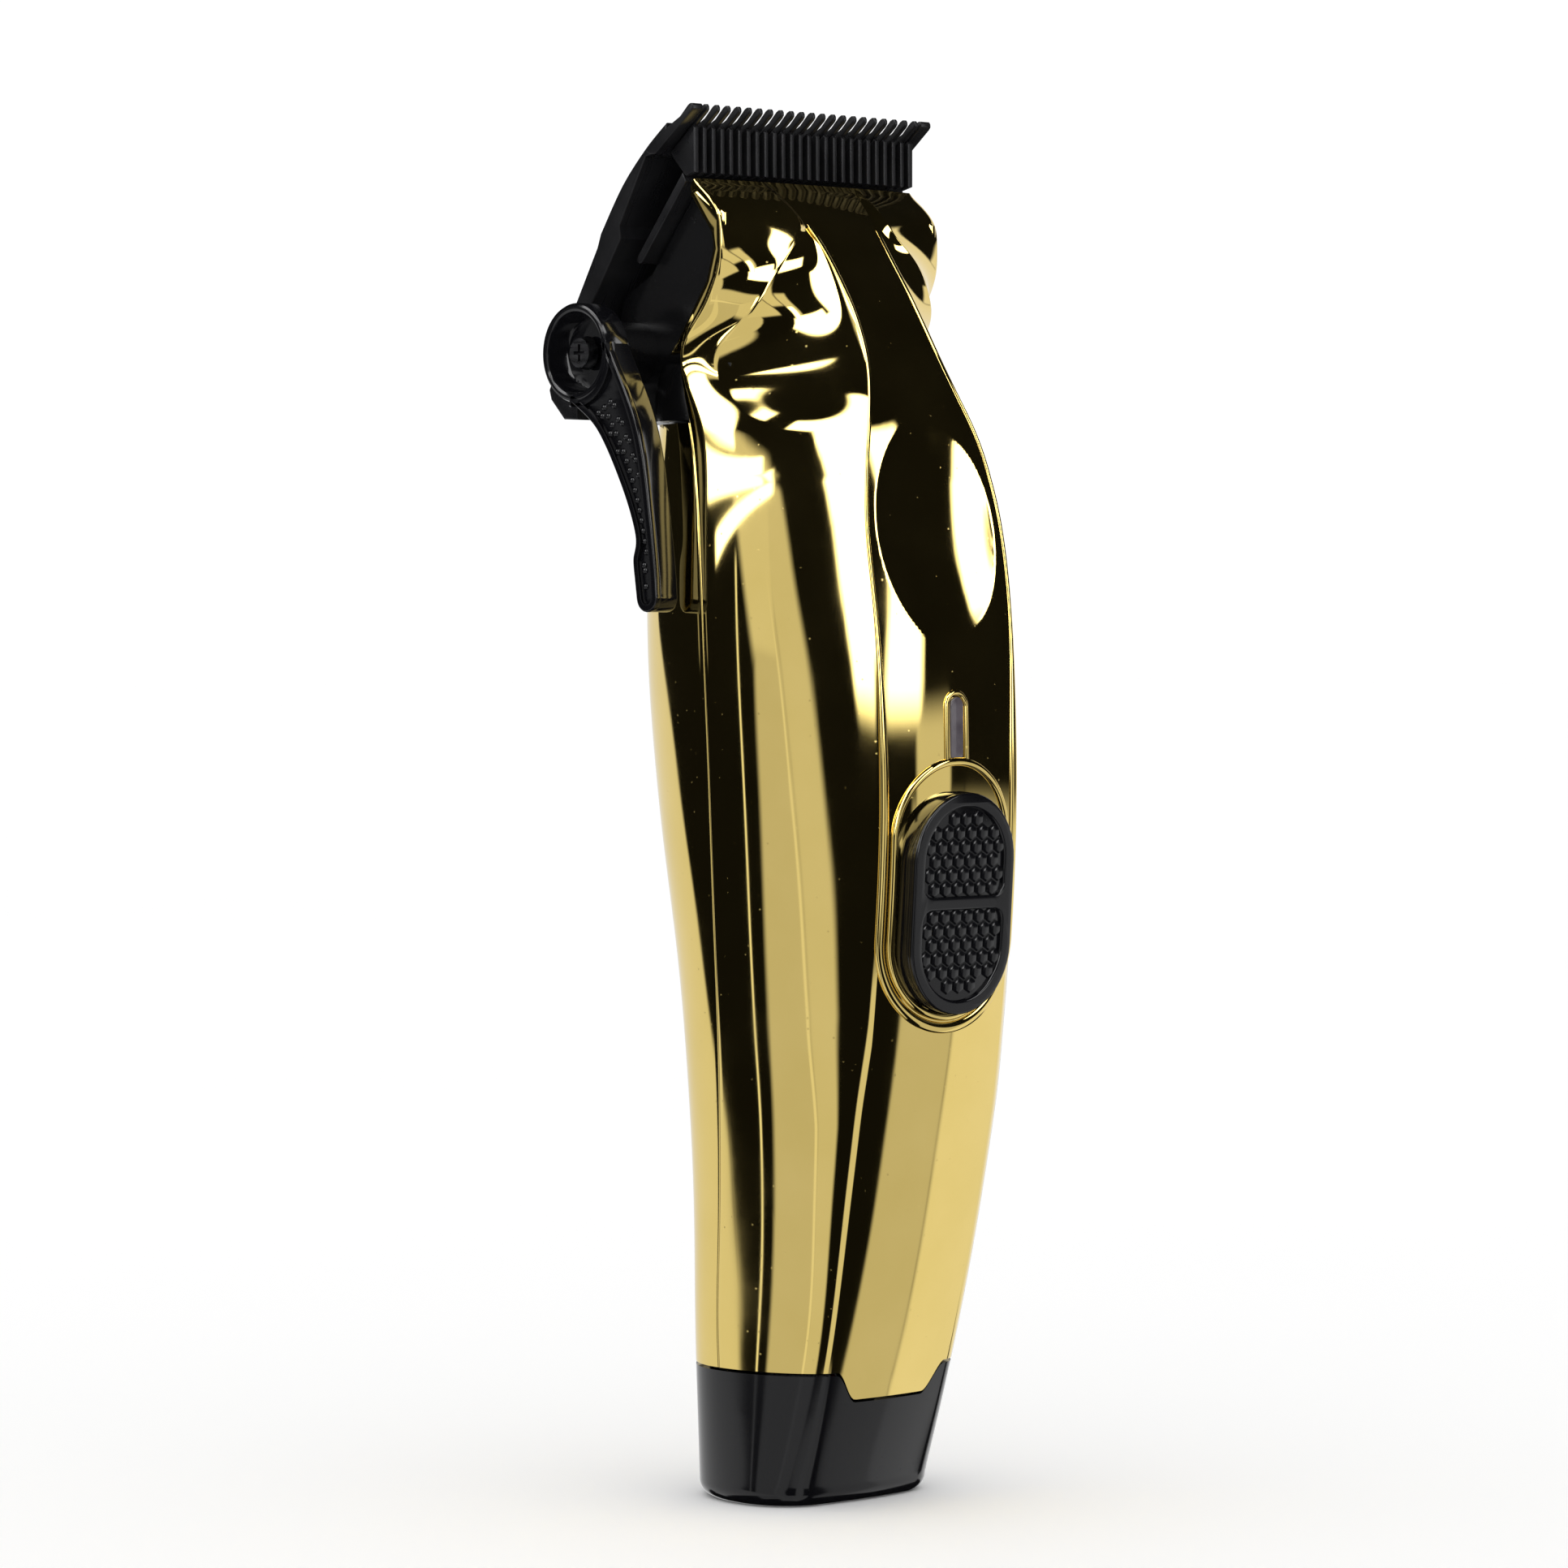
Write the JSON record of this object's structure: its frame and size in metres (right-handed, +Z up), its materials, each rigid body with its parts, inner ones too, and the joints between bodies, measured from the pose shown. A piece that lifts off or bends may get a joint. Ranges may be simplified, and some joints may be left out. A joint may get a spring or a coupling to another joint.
{
  "type": "hair clipper",
  "caption": "Cordless hair clipper with a tapered metallic housing, side taper lever, sliding switch and an adjustable toothed blade set over an oscillating cutter.",
  "frame": {"origin": "centre of the flat base of the bottom cap", "axes": "+Z up along the body to the blade, -Y out of the front with the switch, +Y out of the palm side, the taper lever on -X"},
  "size_m": [0.0516, 0.0566, 0.18],
  "materials": {
    "gold_chrome": "mirror-bright gold plating with very fine scratches",
    "black_gloss": "piano-black moulded plastic",
    "black_satin": "satin black moulded nylon",
    "black_blade": "black diamond-like coating on ground steel",
    "steel": "turned and plated steel",
    "dark_steel": "blackened steel screws",
    "smoked_lens": "smoked clear plastic light pipe",
    "board_green": "green solder mask on glass-fibre board",
    "component_dark": "moulded electronic component",
    "cell_wrap": "shrink-wrapped blue cell sleeve",
    "copper": "copper and brass contacts",
    "magnet": "sintered ferrite",
    "rubber_black": "moulded rubber",
    "red_wire": "silicone wire insulation",
    "white_nylon": "white acetal"
  },
  "bodies": {
    "housing": {"front_shell": "gold_chrome", "back_shell": "gold_chrome", "bottom_cap": "black_gloss", "housing_screws": "dark_steel", "cap_screws": "dark_steel", "charge_socket": "black_satin", "charge_pin": "steel", "charge_contacts": "copper", "chassis": "black_satin", "battery_cell": "cell_wrap", "battery_tabs": "steel", "battery_leads": "red_wire", "control_board": "board_green", "board_components": "component_dark", "board_screws": "steel", "status_led": "white_nylon", "led_lens": "smoked_lens", "slide_switch_body": "component_dark", "motor_can": "steel", "motor_end_cap": "white_nylon", "motor_magnets": "magnet", "motor_mount": "black_satin", "motor_screws": "steel", "motor_damper": "rubber_black", "motor_leads": "red_wire", "head_frame": "black_satin", "lever_bush": "white_nylon"},
    "switch": {"switch_button": "black_gloss", "switch_slider": "white_nylon"},
    "rotor": {"motor_rotor": "copper", "motor_shaft": "steel", "eccentric_cam": "white_nylon", "cam_bearing": "steel"},
    "cutter_set": {"cutter": "black_blade", "drive_yoke": "black_satin", "tension_spring": "steel"},
    "blade_set": {"fixed_blade": "black_blade", "blade_carriage": "black_satin", "blade_screws": "dark_steel", "blade_guide": "black_satin"},
    "lever": {"taper_lever": "black_gloss", "lever_washer": "steel", "lever_shaft": "steel", "lever_screw": "dark_steel"}
  },
  "joints": [
    {"name": "lever_pivot", "type": "hinge", "parent": "housing", "child": "lever", "pos_m": [-0.02, 0.0157, 0.1485], "axis": [-1, 0, 0], "range_deg": [0, 45]},
    {"name": "blade_slide", "type": "slide", "parent": "housing", "child": "blade_set", "axis": [0, -0.6428, 0.766], "range_m": [0, 0.0018]},
    {"name": "cutter_slide", "type": "slide", "parent": "housing", "child": "cutter_set", "axis": [1, 0, 0], "range_m": [-0.0012, 0.0012]},
    {"name": "motor_spin", "type": "hinge", "parent": "housing", "child": "rotor", "pos_m": [0, 0.0015, 0.11], "axis": [0, 0, 1], "continuous": true},
    {"name": "switch_slide", "type": "slide", "parent": "housing", "child": "switch", "axis": [0, -0.0663, 0.9978], "range_m": [0, 0.0022]}
  ],
  "couplings": [
    {"joint": "lever_pivot", "follows": "blade_slide", "rad_per_m": 436.33}
  ]
}
